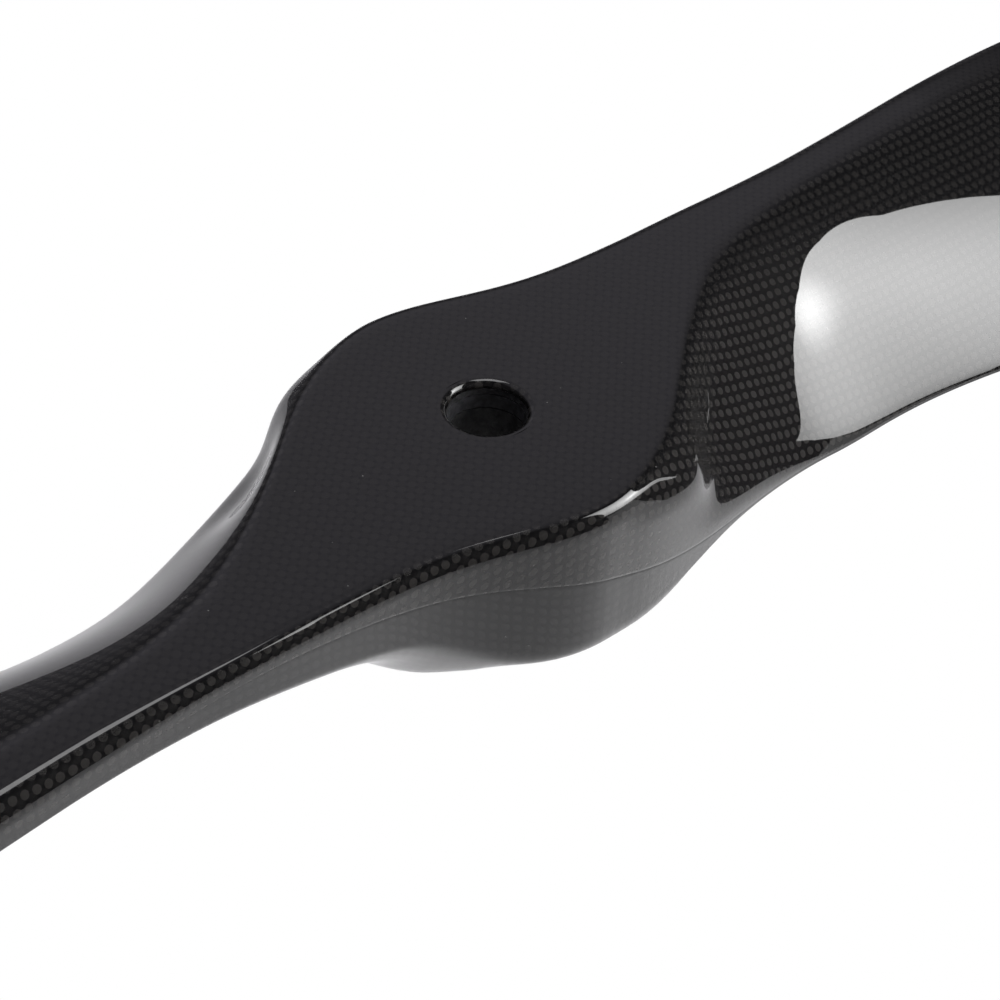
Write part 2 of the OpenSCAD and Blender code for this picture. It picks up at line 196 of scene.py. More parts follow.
def lead(x):
    return mid_y(x) + (lead_raw(x) - mid_y(x)) * tip_q(x)


def trail(x):
    return mid_y(x) + (trail_raw(x) - mid_y(x)) * tip_q(x)


def screw(x):
    """Slope of the section: a straight twist at the root, the helix further out."""
    root = ROOT_TWIST * x + 1e-9
    helix = PITCH / (2 * math.pi) / max(x, 1e-6)
    return (root ** -4 + helix ** -4) ** -0.25


def seam_z(x, y):
    """Height of the parting surface."""
    return lerp(SEAM_H, AXIS_H, ease(x, *AXIS_EASE)) + (y - (lead(x) + trail(x)) / 2) * screw(x)


def wall(x):
    return SKIN_T * lerp(1, TIP_SKIN, ease(x, *SKIN_EASE))


def taper(x):
    return lerp(1, TIP_SECTION, ease(x, *TAPER_EASE)) * tip_q(x) ** 0.6


def crest_z(x):
    blade = seam_z(x, lead(x)) + CREST * taper(x)
    return min(HUB_H, lerp(HUB_H, blade, ease(x, *CREST_EASE)))


def face_w(x):
    """Width of the flat face: the whole hub, narrowing to a land along the leading edge."""
    return ((LAND_W + (2 * HUB_R - LAND_W) * fade(x, *HUB_FACE_BELL))
            * lerp(1, TIP_FACE, ease(x, *FACE_EASE)) * tip_q(x))


def inner_land(x):
    return INNER_LAND * ease(x, *LAND_EASE) * lerp(1, TIP_LAND, ease(x, *LAND_END_EASE))


def foot_w(x):
    return FOOT_END_W + (HUB_R - FOOT_END_W) * fade(x, *FOOT_BELL)


def p2(y, z):
    return np.array([y, z], float)


def section_edges(x, inside):
    """Inset of the face, and y of its leading and trailing edges."""
    inset = wall(x) if inside else 0.0
    return inset, lead(x) - inset, trail(x) + (inset + inner_land(x) if inside else 0.0)


def front_ctrl(x, inside):
    """Control points of the front half of a section, leading edge first."""
    inset, lead_y, trail_y = section_edges(x, inside)
    lead_z, trail_z, top = seam_z(x, lead_y), seam_z(x, trail_y), crest_z(x) - inset
    hub, blade = fade(x, *FRONT_HUB_BELL), ease(x, *BLADE_EASE)

    # the flat face ends at its border, and a slope falls from there to the trailing edge
    outer = p2(lead(x) - face_w(x), crest_z(x))
    fall = math.atan2(outer[1] - seam_z(x, trail(x)), outer[0] - trail(x))
    border = p2(min(outer[0] + inset * math.tan(fall / 2), lead_y - 1.2), top)
    edge_t = INNER_TRAIL_T if inside else TRAIL_T * taper(x)
    foot = p2(trail_y, trail_z + edge_t / 2 + ROOT_WALL * (1 - hub) * fade(x, *ROOT_WALL_BELL))
    length = np.linalg.norm(foot - border)
    outward = p2(-(border - foot)[1], (border - foot)[0]) / length
    dip = VALLEY * (1 - hub) * fade(x - VALLEY_X, *VALLEY_BELL)
    rise = CAMBER * ease(x, *CAMBER_EASE) * taper(x)
    middle = lerp(border, foot, 0.5) + outward * (rise - dip)
    downhill = (middle - border) / np.linalg.norm(middle - border)

    # roundings: of the leading edge, of the land beside it, and both sides of the border
    lead_round = min(lerp(FACE_ROUND, LEAD_ROUND, blade), lerp(0.75, 0.9, blade) * (top - lead_z))
    land_round = min(lerp(FACE_ROUND, LAND_ROUND, blade), 0.4 * (lead_y - border[0]))
    slope_round = min(lerp(FACE_ROUND, SLOPE_ROUND, ease(x, *ROUND_EASE)), 0.25 * length)
    face_round = min(slope_round, 0.25 * (lead_y - border[0]))
    lead_rise, trail_rise = top - lead_round - lead_z, top - slope_round - trail_z
    face_start, face_end = p2(lead_y - 1.5 * land_round, top), border + p2(1.5 * face_round, 0)
    return [p2(lead_y, lead_z), p2(lead_y, lead_z + 0.3 * lead_rise),
            p2(lead_y, lead_z + 0.6 * lead_rise), p2(lead_y, lead_z + 0.9 * lead_rise),
            p2(lead_y, top - 0.5 * lead_round), p2(lead_y - 0.5 * land_round, top),
            face_start, lerp(face_start, face_end, 1 / 3), lerp(face_start, face_end, 2 / 3),
            face_end, border + p2(0.5 * face_round, 0), border + downhill * 0.5 * slope_round,
            lerp(lerp(border + downhill * slope_round, middle, 0.8),
                 p2(trail_y, trail_z + 0.9 * trail_rise), hub),
            lerp(lerp(middle, foot, 0.45), p2(trail_y, trail_z + 0.6 * trail_rise), hub),
            lerp(foot, p2(trail_y, trail_z + 0.3 * trail_rise), hub), p2(trail_y, trail_z)]


def rear_ctrl(x, inside):
    """Control points of the rear half of a section, leading edge first."""
    inset, lead_y, trail_y = section_edges(x, inside)
    lead_z, trail_z, chord = seam_z(x, lead_y), seam_z(x, trail_y), lead_y - trail_y
    hub, face = fade(x, *REAR_HUB_BELL), fade(x, *REAR_FACE_BELL)
    level, blade = 1 - ease(x, *LEVEL_EASE), ease(x, *BLADE_EASE)

    # heights of the rear face at the two edges
    depth = lerp(ROOT_NOSE, NOSE, ease(x, *NOSE_EASE)) * taper(x)
    lead_foot = lerp(seam_z(x, lead(x)) - depth, 0, face) + inset
    if inside:
        trail_foot = lerp(trail_z - INNER_TRAIL_T / 2, inset, face)
    else:
        trail_foot = lerp(trail_z - TRAIL_T * taper(x) / 2, 0, face)

    def face_z(y):
        return lerp(lerp(lead_foot, trail_foot, (lead_y - y) / chord), inset, level)

    # the hub's flat foot, and the corners that lead up to the parting line
    corner = lerp(min(REAR_ROUND, 0.08 * chord), FOOT_ROUND, face)
    half = min(foot_w(x), 0.42 * chord) - inset * hub
    mid = (lead_y + trail_y) / 2 * (1 - level)
    near, far = p2(mid + half, face_z(mid + half)), p2(mid - half, face_z(mid - half))
    lead_drop, trail_drop = lead_z - lead_foot, trail_z - trail_foot
    flat, crisp, pull = half * lerp(0.9, 0.75, hub), lerp(0.9, 1, level), lerp(0.4, 0, hub)
    lead_up, trail_up = face_z(lead_y - 1.6 * corner), face_z(trail_y + 1.6 * corner)
    return [p2(lead_y, lead_z), p2(lead_y, lead_z - lerp(0.35, 0.15, blade) * lead_drop),
            p2(lead_y, lead_z - lerp(0.7, 0.35, blade) * lead_drop),
            p2(lead_y, lead_foot + lerp(min(0.5 * corner, 0.2 * lead_drop),
                                        0.4 * lead_drop, blade)),
            p2(lead_y - lerp(0.5, 0.8, blade) * corner, lerp(lead_foot, lead_up, 0.25)),
            lerp(p2(lead_y - 1.5 * corner, lerp(lead_foot, lead_up, crisp)), near, pull),
            p2(mid + flat, face_z(mid + flat)), p2(mid + 0.2 * half, face_z(mid + 0.2 * half)),
            p2(mid - 0.2 * half, face_z(mid - 0.2 * half)), p2(mid - flat, face_z(mid - flat)),
            lerp(p2(trail_y + 1.5 * corner, lerp(trail_foot, trail_up, crisp)), far, pull),
            p2(trail_y + 0.5 * corner, lerp(trail_foot, trail_up, 0.25)),
            p2(trail_y, trail_foot + min(0.5 * corner, 0.2 * trail_drop)),
            p2(trail_y, lerp(trail_foot + 0.2 * trail_drop, trail_z - 0.7 * trail_drop, hub)),
            p2(trail_y, lerp(trail_foot + 0.5 * trail_drop, trail_z - 0.35 * trail_drop, hub)),
            p2(trail_y, trail_z)]


def curve_basis(spans):
    """Matrix that turns 16 control points into the points of the smooth curve they guide."""
    ctrl = 16
    rows = np.zeros((spans + 1, ctrl + 4))
    arcs = ctrl + 1
    for s in range(spans + 1):
        place = s / spans * arcs
        i = min(int(place), arcs - 1)
        t = place - i
        rows[s, i:i + 4] = np.array([(1 - t) ** 3, 3 * t ** 3 - 6 * t * t + 4,
                                     -3 * t ** 3 + 3 * t * t + 3 * t + 1, t ** 3]) / 6
    # the end points count three times, so that the curve starts and stops on them
    basis = rows[:, 2:-2].copy()
    basis[:, 0] += rows[:, 0] + rows[:, 1]
    basis[:, -1] += rows[:, -1] + rows[:, -2]
    return basis


# ---- point grids of the skins --------------------------------------------------------------------

def stations(limit):
    """Distances of the sections from the bore axis, both blades, hub rows close together."""
    near = list(np.arange(0, HUB_ROWS_END, HUB_STEP))
    far = list(np.linspace(HUB_ROWS_END, TIP_X, BLADE_ROWS))
    tip = [TIP_X + TIP_ROUND * math.sin(math.radians(a)) for a in range(TIP_STEP, 91, TIP_STEP)]
    xs = [x for x in near + far + tip if x <= limit + 1e-6]
    if limit < TIP_X:
        xs.append(limit)
    return [-x for x in xs[:0:-1]] + xs


def grid(ctrl, inside, cols, xs):
    """Points of a face, a row per section; the other blade is the same, turned half a turn."""
    basis = curve_basis(cols)
    rows = []
    for x in xs:
        row = basis @ np.array(ctrl(abs(x), inside))
        if x < 0:
            row = -row[::-1] * (1, -1)
        rows.append(np.column_stack([np.full(cols + 1, x), row]))
    return np.array(rows)


def unit(vectors):
    return vectors / np.linalg.norm(vectors, axis=2, keepdims=True)


def row_distance(points):
    """Distance of every point from the start of its row, along the row."""
    step = np.linalg.norm(np.diff(points, axis=1), axis=2)
    return np.concatenate([np.zeros((len(points), 1)), np.cumsum(step, axis=1)], axis=1)


def cloth_map(points, xs, ref):
    """Cloth coordinates of a grid: along the blade, and over the surface from column ref."""
    run = row_distance(points)
    out = np.zeros(points.shape[:2] + (2,))
    for i, x in enumerate(xs):
        k = ref if x >= 0 else points.shape[1] - 1 - ref
        out[i, :, 0] = x
        out[i, :, 1] = run[i] - run[i, k] - points[i, k, 1]
    return out


def cut_parting_line(points, xs, along, across):
    """The outside face with a shallow groove at its edges, where the two halves meet."""
    inward = unit(np.cross(along, across))
    centre = points.mean(axis=1, keepdims=True)
    inward *= np.sign(((centre - points) * inward).sum(axis=2, keepdims=True))
    run = row_distance(points)
    gap = np.minimum(run, run[:, -1:] - run)[:, :, None]
    depth = np.array([SEAM_GROOVE * fade(x, *GROOVE_BELL) for x in np.abs(xs)])[:, None, None]
    points = points + inward * depth * np.exp(-(gap / GROOVE_W) ** 2)
    points[..., 1] = np.clip(points[..., 1], cad_low.y / MM, cad_high.y / MM)
    return points


def ring_loop(rows, cols, base, width):
    """Vertex ids round an index rectangle of a grid."""
    (i0, i1), (k0, k1) = rows, cols
    ids = [(i0, k) for k in range(k0, k1)] + [(i, k1) for i in range(i0, i1)]
    ids += [(i1, k) for k in range(k1, k0, -1)] + [(i, k0) for i in range(i1, i0, -1)]
    return [base + i * width + k for i, k in ids]


def quads(rows, cols, base, hole):
    """Faces of a grid of rows by cols points, without the cells of the hole."""
    (i0, i1), (k0, k1) = hole
    faces = []
    for i in range(rows - 1):
        for k in range(cols - 1):
            if i0 <= i < i1 and k0 <= k < k1:
                continue
            a = base + i * cols + k
            faces.append((a, a + cols, a + cols + 1, a + 1))
    return faces


def in_turn(ids, verts):
    """The loop run anticlockwise round the bore axis, with its angles, closed."""
    ang = [math.atan2(verts[i][1], verts[i][0]) for i in ids]
    if sum(((ang[j] - ang[j - 1] + math.pi) % (2 * math.pi)) - math.pi
           for j in range(len(ids))) < 0:
        ids, ang = ids[::-1], ang[::-1]
    s = int(np.argmin(ang))
    ids, ang = ids[s:] + ids[:s], ang[s:] + ang[:s]
    return ids + ids[:1], ang + [ang[0] + 2 * math.pi]


def zip_loops(a, b, verts):
    """Triangles between two closed loops round the bore axis, whatever their counts."""
    (a, turn_a), (b, turn_b) = in_turn(a, verts), in_turn(b, verts)
    faces, i, j = [], 0, 0
    while i < len(a) - 1 or j < len(b) - 1:
        if j == len(b) - 1 or (i < len(a) - 1 and turn_a[i + 1] <= turn_b[j + 1]):
            faces.append((a[i], a[i + 1], b[j]))
            i += 1
        else:
            faces.append((a[i], b[j + 1], b[j]))
            j += 1
    return faces


def opening(points, xs, half):
    """Index rectangle of the cells within half of the bore axis."""
    i0 = next(i for i, x in enumerate(xs) if x >= -half)
    i1 = max(i for i, x in enumerate(xs) if x <= half)
    part = points[i0:i1 + 1]
    k0 = min(k for k in range(points.shape[1]) if part[:, k, 1].max() <= half)
    k1 = max(k for k in range(points.shape[1]) if part[:, k, 1].min() >= -half)
    return (i0, i1), (k0, k1)


def add_bore_lip(verts, faces, loop, face_z, up):
    """Rings from the flat face over the rounded lip into the bore; returns the last ring."""
    turns = [math.atan2(verts[i][1], verts[i][0]) for i in loop]
    profile = [(BORE_R + BORE_LIP + LIP_BORDER, face_z)]
    stop = math.asin(1 - SKIN_T / BORE_LIP)
    for j in range(LIP_RINGS):
        a = lerp(math.pi / 2, stop, j / (LIP_RINGS - 1))
        profile.append((BORE_R + BORE_LIP * (1 - math.cos(a)),
                        face_z - up * BORE_LIP * (1 - math.sin(a))))
    last = loop
    for r, z in profile:
        ring = [len(verts) + j for j in range(len(turns))]
        verts += [(r * math.cos(t), r * math.sin(t), z) for t in turns]
        faces += [(last[j - 1], last[j], ring[j], ring[j - 1]) for j in range(len(ring))]
        last = ring
    return last


def parting_faces(rows_out, rows_in, base_in):
    """Faces on the parting surface: a rim beside the hollow, solid from its ends to the tips."""
    n_out, n_in = OUT_COLS + 1, IN_COLS + 1
    skip = (rows_out - rows_in) // 2
    first, final = skip, rows_out - 1 - skip
    faces = []
    for i in range(rows_out - 1):
        a, b = i * n_out, (i + 1) * n_out
        if first <= i < final:
            c, d = base_in + (i - skip) * n_in, base_in + (i + 1 - skip) * n_in
            faces += [(a, b, d, c), (a + OUT_COLS, b + OUT_COLS, d + IN_COLS, c + IN_COLS)]
        elif i != first - 1 and i != final:
            faces.append((a, b, b + OUT_COLS, a + OUT_COLS))
    for i, j, c in ((first, first - 1, base_in),
                    (final, final + 1, base_in + (rows_in - 1) * n_in)):
        a, b = i * n_out, j * n_out
        faces.append((b, a, c, c + IN_COLS, a + OUT_COLS, b + OUT_COLS))
        faces.append(tuple(c + k for k in range(n_in)))
    for i in (0, rows_out - 1):
        faces.append(tuple(i * n_out + k for k in range(n_out)))
    return faces


def closed_mesh(name, verts, faces):
    """Mesh of the faces without the points that none uses, and a mask of the points it keeps."""
    mesh = bpy.data.meshes.new(name)
    mesh.from_pydata([Vector(v) * MM for v in verts], [], faces)
    bm = bmesh.new()
    bm.from_mesh(mesh)
    loose = [v for v in bm.verts if not v.link_faces]
    keep = np.ones(len(verts), bool)
    keep[[v.index for v in loose]] = False
    bmesh.ops.delete(bm, geom=loose, context="VERTS")
    bmesh.ops.recalc_face_normals(bm, faces=bm.faces)
    bm.to_mesh(mesh)
    bm.free()
    return mesh, keep


def lay_cloth(mesh, keep, verts, cloth, along, side):
    """Cloth coordinates and the two tow directions, as attributes of every point."""
    count, outside = len(verts), cloth.shape[0] * cloth.shape[1]
    uv = np.zeros((count, 3))
    uv[:outside, :2] = cloth.reshape(-1, 2)
    uv[outside:, :2] = [(v[0], -v[1]) for v in verts[outside:]]
    length = np.tile((1.0, 0.0, 0.0), (count, 1))
    width = np.tile((0.0, -1.0, 0.0), (count, 1))
    length[:outside] = along.reshape(-1, 3)
    width[:outside] = side.reshape(-1, 3)
    for key, value in (("cloth", uv), ("warp", length + width), ("weft", length - width)):
        att = mesh.attributes.new(key, "FLOAT_VECTOR", "POINT")
        att.data.foreach_set("vector", value[keep].astype(np.float32).ravel())


def skin(name, ctrl, front, node):
    """One half of the moulded shell: outside face, inside face, bore lip and parting surface."""
    xs_out, xs_in = stations(TIP_R), stations(HOLLOW_X)
    out, inn = grid(ctrl, False, OUT_COLS, xs_out), grid(ctrl, True, IN_COLS, xs_in)
    cloth = cloth_map(out, xs_out, int(OUT_COLS * (FRONT_COL if front else REAR_COL)))
    z_face, up = (HUB_H, 1) if front else (0.0, -1)
    hole_out, hole_in = opening(out, xs_out, OUT_OPENING), opening(inn, xs_in, IN_OPENING)
    along, across = np.gradient(out, axis=0), np.gradient(out, axis=1)
    out = cut_parting_line(out, xs_out, along, across)

    n_out, n_in = OUT_COLS + 1, IN_COLS + 1
    verts = [tuple(p) for p in out.reshape(-1, 3)]
    base_in = len(verts)
    verts += [tuple(p) for p in inn.reshape(-1, 3)]
    faces = quads(len(xs_out), n_out, 0, hole_out)
    faces += quads(len(xs_in), n_in, base_in, hole_in)
    lip = add_bore_lip(verts, faces, ring_loop(*hole_out, 0, n_out), z_face, up)
    faces += zip_loops(ring_loop(*hole_in, base_in, n_in), lip, verts)
    faces += parting_faces(len(xs_out), len(xs_in), base_in)

    mesh, keep = closed_mesh(name, verts, faces)
    lay_cloth(mesh, keep, verts, cloth, unit(along), unit(across))
    mesh.polygons.foreach_set("use_smooth", [True] * len(mesh.polygons))
    mesh.set_sharp_from_angle(angle=math.radians(40))

    piece = bpy.data.objects.new(name, mesh)
    bpy.context.scene.collection.objects.link(piece)
    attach(piece, "root")
    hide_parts(node)
    return piece


front = skin("front_skin_laminate", front_ctrl, True, "front_skin")
rear = skin("rear_skin_laminate", rear_ctrl, False, "rear_skin")


# ---- materials -----------------------------------------------------------------------------------

TOW_DRIFT = 1.1                       # how far the tows wander, in millimetres
TOW_RISE = 0.9                        # rise of a float over the tow it crosses
# painted highlight: a float is painted brighter towards its crown
CROWN_HIGHLIGHT_EDGE = (0.45, 1.15)             # heights at which a float starts and is fully bright
GAP_COLOUR = (0.0008, 0.0008, 0.0009)
# painted sheen: the tilt of the face sets how bright the warp and the weft are painted
STEEP_TO_SLOPE = (0.7, 0.88)          # z of the normal between which steep turns to sloping
SLOPE_TO_LEVEL = (0.96, 0.995)        # the same between sloping and level
WARP_PAINTED_SHEEN = (0.2, 0.03, 0.21)        # how bright the warp is on steep, sloping and level faces
WEFT_PAINTED_SHEEN = (1.0, 0.52, 0.15)
DUST_SCALE = 0.3                      # dust cells per millimetre
DUST_SIZE = (0.045, 0.015)            # distances at which a speck starts and is full
DUST_SHARE = 0.55                     # share of the cells that have no speck
DUST_COLOUR = (0.11, 0.11, 0.105)


class Shade:
    """A number in a node tree, so that a pattern can be written as arithmetic."""

    def __init__(self, tree, socket):
        self.tree, self.socket = tree, socket

    def op(self, kind, other=None):
        node = self.tree.nodes.new("ShaderNodeMath")
        node.operation = kind
        self.tree.links.new(self.socket, node.inputs[0])
        if isinstance(other, Shade):
            self.tree.links.new(other.socket, node.inputs[1])
        elif other is not None:
            node.inputs[1].default_value = other
        return Shade(self.tree, node.outputs[0])

    def __add__(self, other):
        return self.op("ADD", other)

    def __sub__(self, other):
        return self.op("SUBTRACT", other)

    def __mul__(self, other):
        return self.op("MULTIPLY", other)

    def step(self, low, high):
        """0 at low, 1 at high, smooth between."""
        node = self.tree.nodes.new("ShaderNodeMapRange")
        node.interpolation_type = "SMOOTHSTEP"
        self.tree.links.new(self.socket, node.inputs["Value"])
        node.inputs["From Min"].default_value = low
        node.inputs["From Max"].default_value = high
        return Shade(self.tree, node.outputs["Result"])


def new_material(name):
    mat = bpy.data.materials.new(name)
    mat.use_nodes = True
    tree = mat.node_tree
    return mat, tree, tree.nodes["Principled BSDF"]


def attribute(tree, name):
    node = tree.nodes.new("ShaderNodeAttribute")
    node.attribute_name = name
    return node.outputs["Vector"]


def mix_colour(tree, share, low, high):
    """A colour between low and high, which are colours or sockets."""
    node = tree.nodes.new("ShaderNodeMix")
    node.data_type = "RGBA"
    tree.links.new(share.socket, node.inputs["Factor"])
    for key, value in (("A", low), ("B", high)):
        socket = [i for i in node.inputs if i.name == key and i.type == "RGBA"][0]
        if isinstance(value, bpy.types.NodeSocket):
            tree.links.new(value, socket)
        else:
            socket.default_value = (*value, 1)
    return [o for o in node.outputs if o.type == "RGBA"][0]


def noise(tree, scale, detail, vector=None):
    node = tree.nodes.new("ShaderNodeTexNoise")
    node.inputs["Scale"].default_value = scale
    node.inputs["Detail"].default_value = detail
    if vector is None:
        vector = tree.nodes.new("ShaderNodeTexCoord").outputs["Object"]
    tree.links.new(vector, node.inputs["Vector"])
    return Shade(tree, node.outputs["Fac"])


def bump(tree, height, depth):
    """Normal of a relief that is depth millimetres deep."""
    node = tree.nodes.new("ShaderNodeBump")
    node.inputs["Distance"].default_value = depth * MM
    tree.links.new(height.socket, node.inputs["Height"])
    return node.outputs["Normal"]


def wandering_cloth(tree, cloth):
    """Cloth coordinates shifted a little, because the cloth was laid by hand."""
    drift = tree.nodes.new("ShaderNodeTexNoise")
    drift.inputs["Scale"].default_value = 0.12
    drift.inputs["Detail"].default_value = 2
    tree.links.new(cloth, drift.inputs["Vector"])
    shift = tree.nodes.new("ShaderNodeVectorMath")
    shift.operation = "MULTIPLY_ADD"
    shift.inputs[1].default_value = (TOW_DRIFT, TOW_DRIFT, 0)
    tree.links.new(drift.outputs["Color"], shift.inputs[0])
    tree.links.new(cloth, shift.inputs[2])
    return shift.outputs[0]


def tow_arch(across):
    """Height over one tow, from edge to edge."""
    return ((across.op("FRACT") - 0.5) * math.pi).op("COSINE")


def tow_wave(along, across):
    """Rise and fall of a tow along its way; every second tow runs the other way up."""
    sign = across.op("FLOOR").op("FLOORED_MODULO", 2.0) * -2.0 + 1.0
    return ((along - 0.5) * math.pi).op("COSINE") * sign


def painted_sheen_by_tilt(slope, level, light):
    """Painted sheen on steep, sloping and level faces, turned into one number."""
    steep, sloping, flat = light
    return slope * (sloping - steep) + level * (flat - sloping) + steep


def dust_specks(tree, cloth):
    """1 on a few small specks, far apart."""
    dust = tree.nodes.new("ShaderNodeTexVoronoi")
    dust.inputs["Scale"].default_value = DUST_SCALE
    tree.links.new(cloth, dust.inputs["Vector"])
    pick = tree.nodes.new("ShaderNodeSeparateColor")
    tree.links.new(dust.outputs["Color"], pick.inputs[0])
    return (Shade(tree, dust.outputs["Distance"]).step(*DUST_SIZE)
            * Shade(tree, pick.outputs["Red"]).op("GREATER_THAN", DUST_SHARE))


def woven(name, tone, relief, coat_rough):
    """Plain-weave carbon at 45 degrees to the blade, under a clear gloss coat. Its colour holds
    painted highlights on the float crowns and a painted sheen set by the tilt of the face.
    """
    mat, tree, bsdf = new_material(name)
    cloth = attribute(tree, "cloth")
    laid = wandering_cloth(tree, cloth)
    split = tree.nodes.new("ShaderNodeSeparateXYZ")
    tree.links.new(laid, split.inputs[0])
    u, v = Shade(tree, split.outputs["X"]), Shade(tree, split.outputs["Y"])
    per_tow = 1 / (math.sqrt(2) * TOW)
    p, q = (u + v) * per_tow, (u - v) * per_tow

    # warp tows run along p and lie side by side in q; weft tows the other way round
    warp = tow_arch(q) + tow_wave(p, q) * TOW_RISE
    weft = tow_arch(p) - tow_wave(q, p) * TOW_RISE
    shown = (warp - weft).op("GREATER_THAN", 0.0)
    top = warp.op("MAXIMUM", weft)

    # each visible float is an oval with a painted highlight at its crown, black in the gaps round
    # it
    fibre = noise(tree, scale=5.0, detail=4.0, vector=laid)
    crown_highlight = top.step(*CROWN_HIGHLIGHT_EDGE) * (fibre * 0.8 + 0.6)

    # painted sheen: on level faces the warp is painted the brighter of the two, on slopes and steep
    # faces the weft, standing in for how the tows catch the light at each tilt
    normal = tree.nodes.new("ShaderNodeSeparateXYZ")
    tree.links.new(tree.nodes.new("ShaderNodeNewGeometry").outputs["Normal"], normal.inputs[0])
    tilt = Shade(tree, normal.outputs["Z"])
    slope, level = tilt.step(*STEEP_TO_SLOPE), tilt.step(*SLOPE_TO_LEVEL)
    warp_painted_sheen, weft_painted_sheen = painted_sheen_by_tilt(slope, level, WARP_PAINTED_SHEEN), painted_sheen_by_tilt(slope, level, WEFT_PAINTED_SHEEN)
    lit = shown * warp_painted_sheen + (shown * -1.0 + 1.0) * weft_painted_sheen
    # the base colour takes the painted crown highlight times the painted sheen
    cloth_tone = mix_colour(tree, crown_highlight * lit, GAP_COLOUR, tone)
    tree.links.new(mix_colour(tree, dust_specks(tree, cloth), cloth_tone, DUST_COLOUR),
                   bsdf.inputs["Base Color"])
    tree.links.new(bump(tree, top, relief), bsdf.inputs["Normal"])

    # light spreads across the fibres, never along them
    tangent = mix_colour(tree, shown, attribute(tree, "warp"), attribute(tree, "weft"))
    tree.links.new(tangent, bsdf.inputs["Tangent"])
    bsdf.inputs["Specular IOR Level"].default_value = 0.02
    bsdf.inputs["Roughness"].default_value = 0.4
    bsdf.inputs["Anisotropic"].default_value = 0.8
    bsdf.inputs["Coat Weight"].default_value = 1.0
    bsdf.inputs["Coat Roughness"].default_value = coat_rough
    bsdf.inputs["Coat IOR"].default_value = 1.5
    return mat


def rough_solid(name, low, high, scale, relief, roughness):
    """A matt inner material: two tones of grain with a fine uneven surface."""
    mat, tree, bsdf = new_material(name)
    grain = noise(tree, scale, detail=6.0)
    tree.links.new(mix_colour(tree, grain.step(0.35, 0.65), low, high), bsdf.inputs["Base Color"])
    tree.links.new(bump(tree, grain, relief), bsdf.inputs["Normal"])
    bsdf.inputs["Roughness"].default_value = roughness
    return mat


front.data.materials.append(woven("carbon_front", (0.025, 0.0235, 0.022), 0.02, 0.015))
rear.data.materials.append(woven("carbon_rear", (0.014, 0.0137, 0.0133), 0.01, 0.02))

# material slot: darker tone, lighter tone, grain scale, relief in millimetres, roughness
INNER = {
    "hub_compound": ((0.012, 0.012, 0.013), (0.04, 0.04, 0.04), 900, 0.2, 0.6),
    "hub_plies": ((0.014, 0.014, 0.015), (0.035, 0.035, 0.037), 1400, 0.15, 0.55),
    "spar_carbon": ((0.02, 0.02, 0.022), (0.045, 0.045, 0.05), 1200, 0.1, 0.5),
    "foam": ((0.72, 0.67, 0.5), (0.86, 0.82, 0.66), 700, 0.3, 0.9),
    "roving": ((0.02, 0.02, 0.021), (0.04, 0.04, 0.044), 1100, 0.1, 0.5),
    "adhesive": ((0.35, 0.3, 0.2), (0.46, 0.41, 0.29), 500, 0.15, 0.7),
    "tip_filler": ((0.16, 0.15, 0.14), (0.22, 0.21, 0.19), 600, 0.15, 0.7),
}
inner = {slot: rough_solid(slot, *look) for slot, look in INNER.items()}
slots = {part["node"]: part["material_slot"] for part in frame["record"]["subparts"]}
for node, piece in frame["nodes"].items():
    if slots[node] in inner:
        piece.data.materials.clear()
        piece.data.materials.append(inner[slots[node]])


# ---- camera --------------------------------------------------------------------------------------

CAM_AZ, CAM_EL, CAM_ROLL = math.radians(43), math.radians(40.37), math.radians(3.135)
CAM_PLACE = Vector((-166.14, -181.29, HUB_H + 194.32)) * MM

cam = bpy.data.objects.new("camera", bpy.data.cameras.new("camera"))
bpy.context.scene.collection.objects.link(cam)
look = Vector((math.cos(CAM_EL) * math.sin(CAM_AZ), math.cos(CAM_EL) * math.cos(CAM_AZ),
               -math.sin(CAM_EL)))
side = Vector((math.cos(CAM_AZ), -math.sin(CAM_AZ), 0))
lift = side.cross(look)
right = side * math.cos(CAM_ROLL) + lift * math.sin(CAM_ROLL)
above = lift * math.cos(CAM_ROLL) - side * math.sin(CAM_ROLL)
cam.matrix_world = Matrix((right, above, -look)).transposed().to_4x4()
cam.location = CAM_PLACE
cam.data.sensor_width = 36
cam.data.lens = 92.34
cam.data.clip_start = 0.01
bpy.context.scene.camera = cam


# ---- floor and light, in metres ------------------------------------------------------------------

CENTRE = Vector((0, 0, HUB_H / 2 * MM))
FLOOR_Z = -0.3
FLOOR_HALF = 1.0
WASH_AZ = 125
BOX_AZ, BOX_EL, BOX_D = 133.0, 33.0, 1.2
# corners of the softbox, in box distances from its middle
BOX_OUTLINE = ((-0.48, 0.35), (-0.41, 0.27), (-0.34, 0.18), (-0.265, 0.03), (-0.24, -0.08),
               (-0.265, -0.2), (-0.33, -0.32), (-0.41, -0.48), (0.31, -0.14), (-0.07, 0.55))
ROOM_COLOUR = (0.075, 0.072, 0.08)
GLOW_COLOUR = (0.385, 0.37, 0.415)
GLOW_AZ, GLOW_EL = 5, 55
GLOW_EDGE = (0.62, 0.84)  # cosines of the angles at which the glow ends and is full


def heading(az, el):
    """Unit vector at azimuth az (0 is +Y, 90 is +X) and elevation el, in degrees."""
    a, e = math.radians(az), math.radians(el)
    return Vector((math.sin(a) * math.cos(e), math.cos(a) * math.cos(e), math.sin(e)))


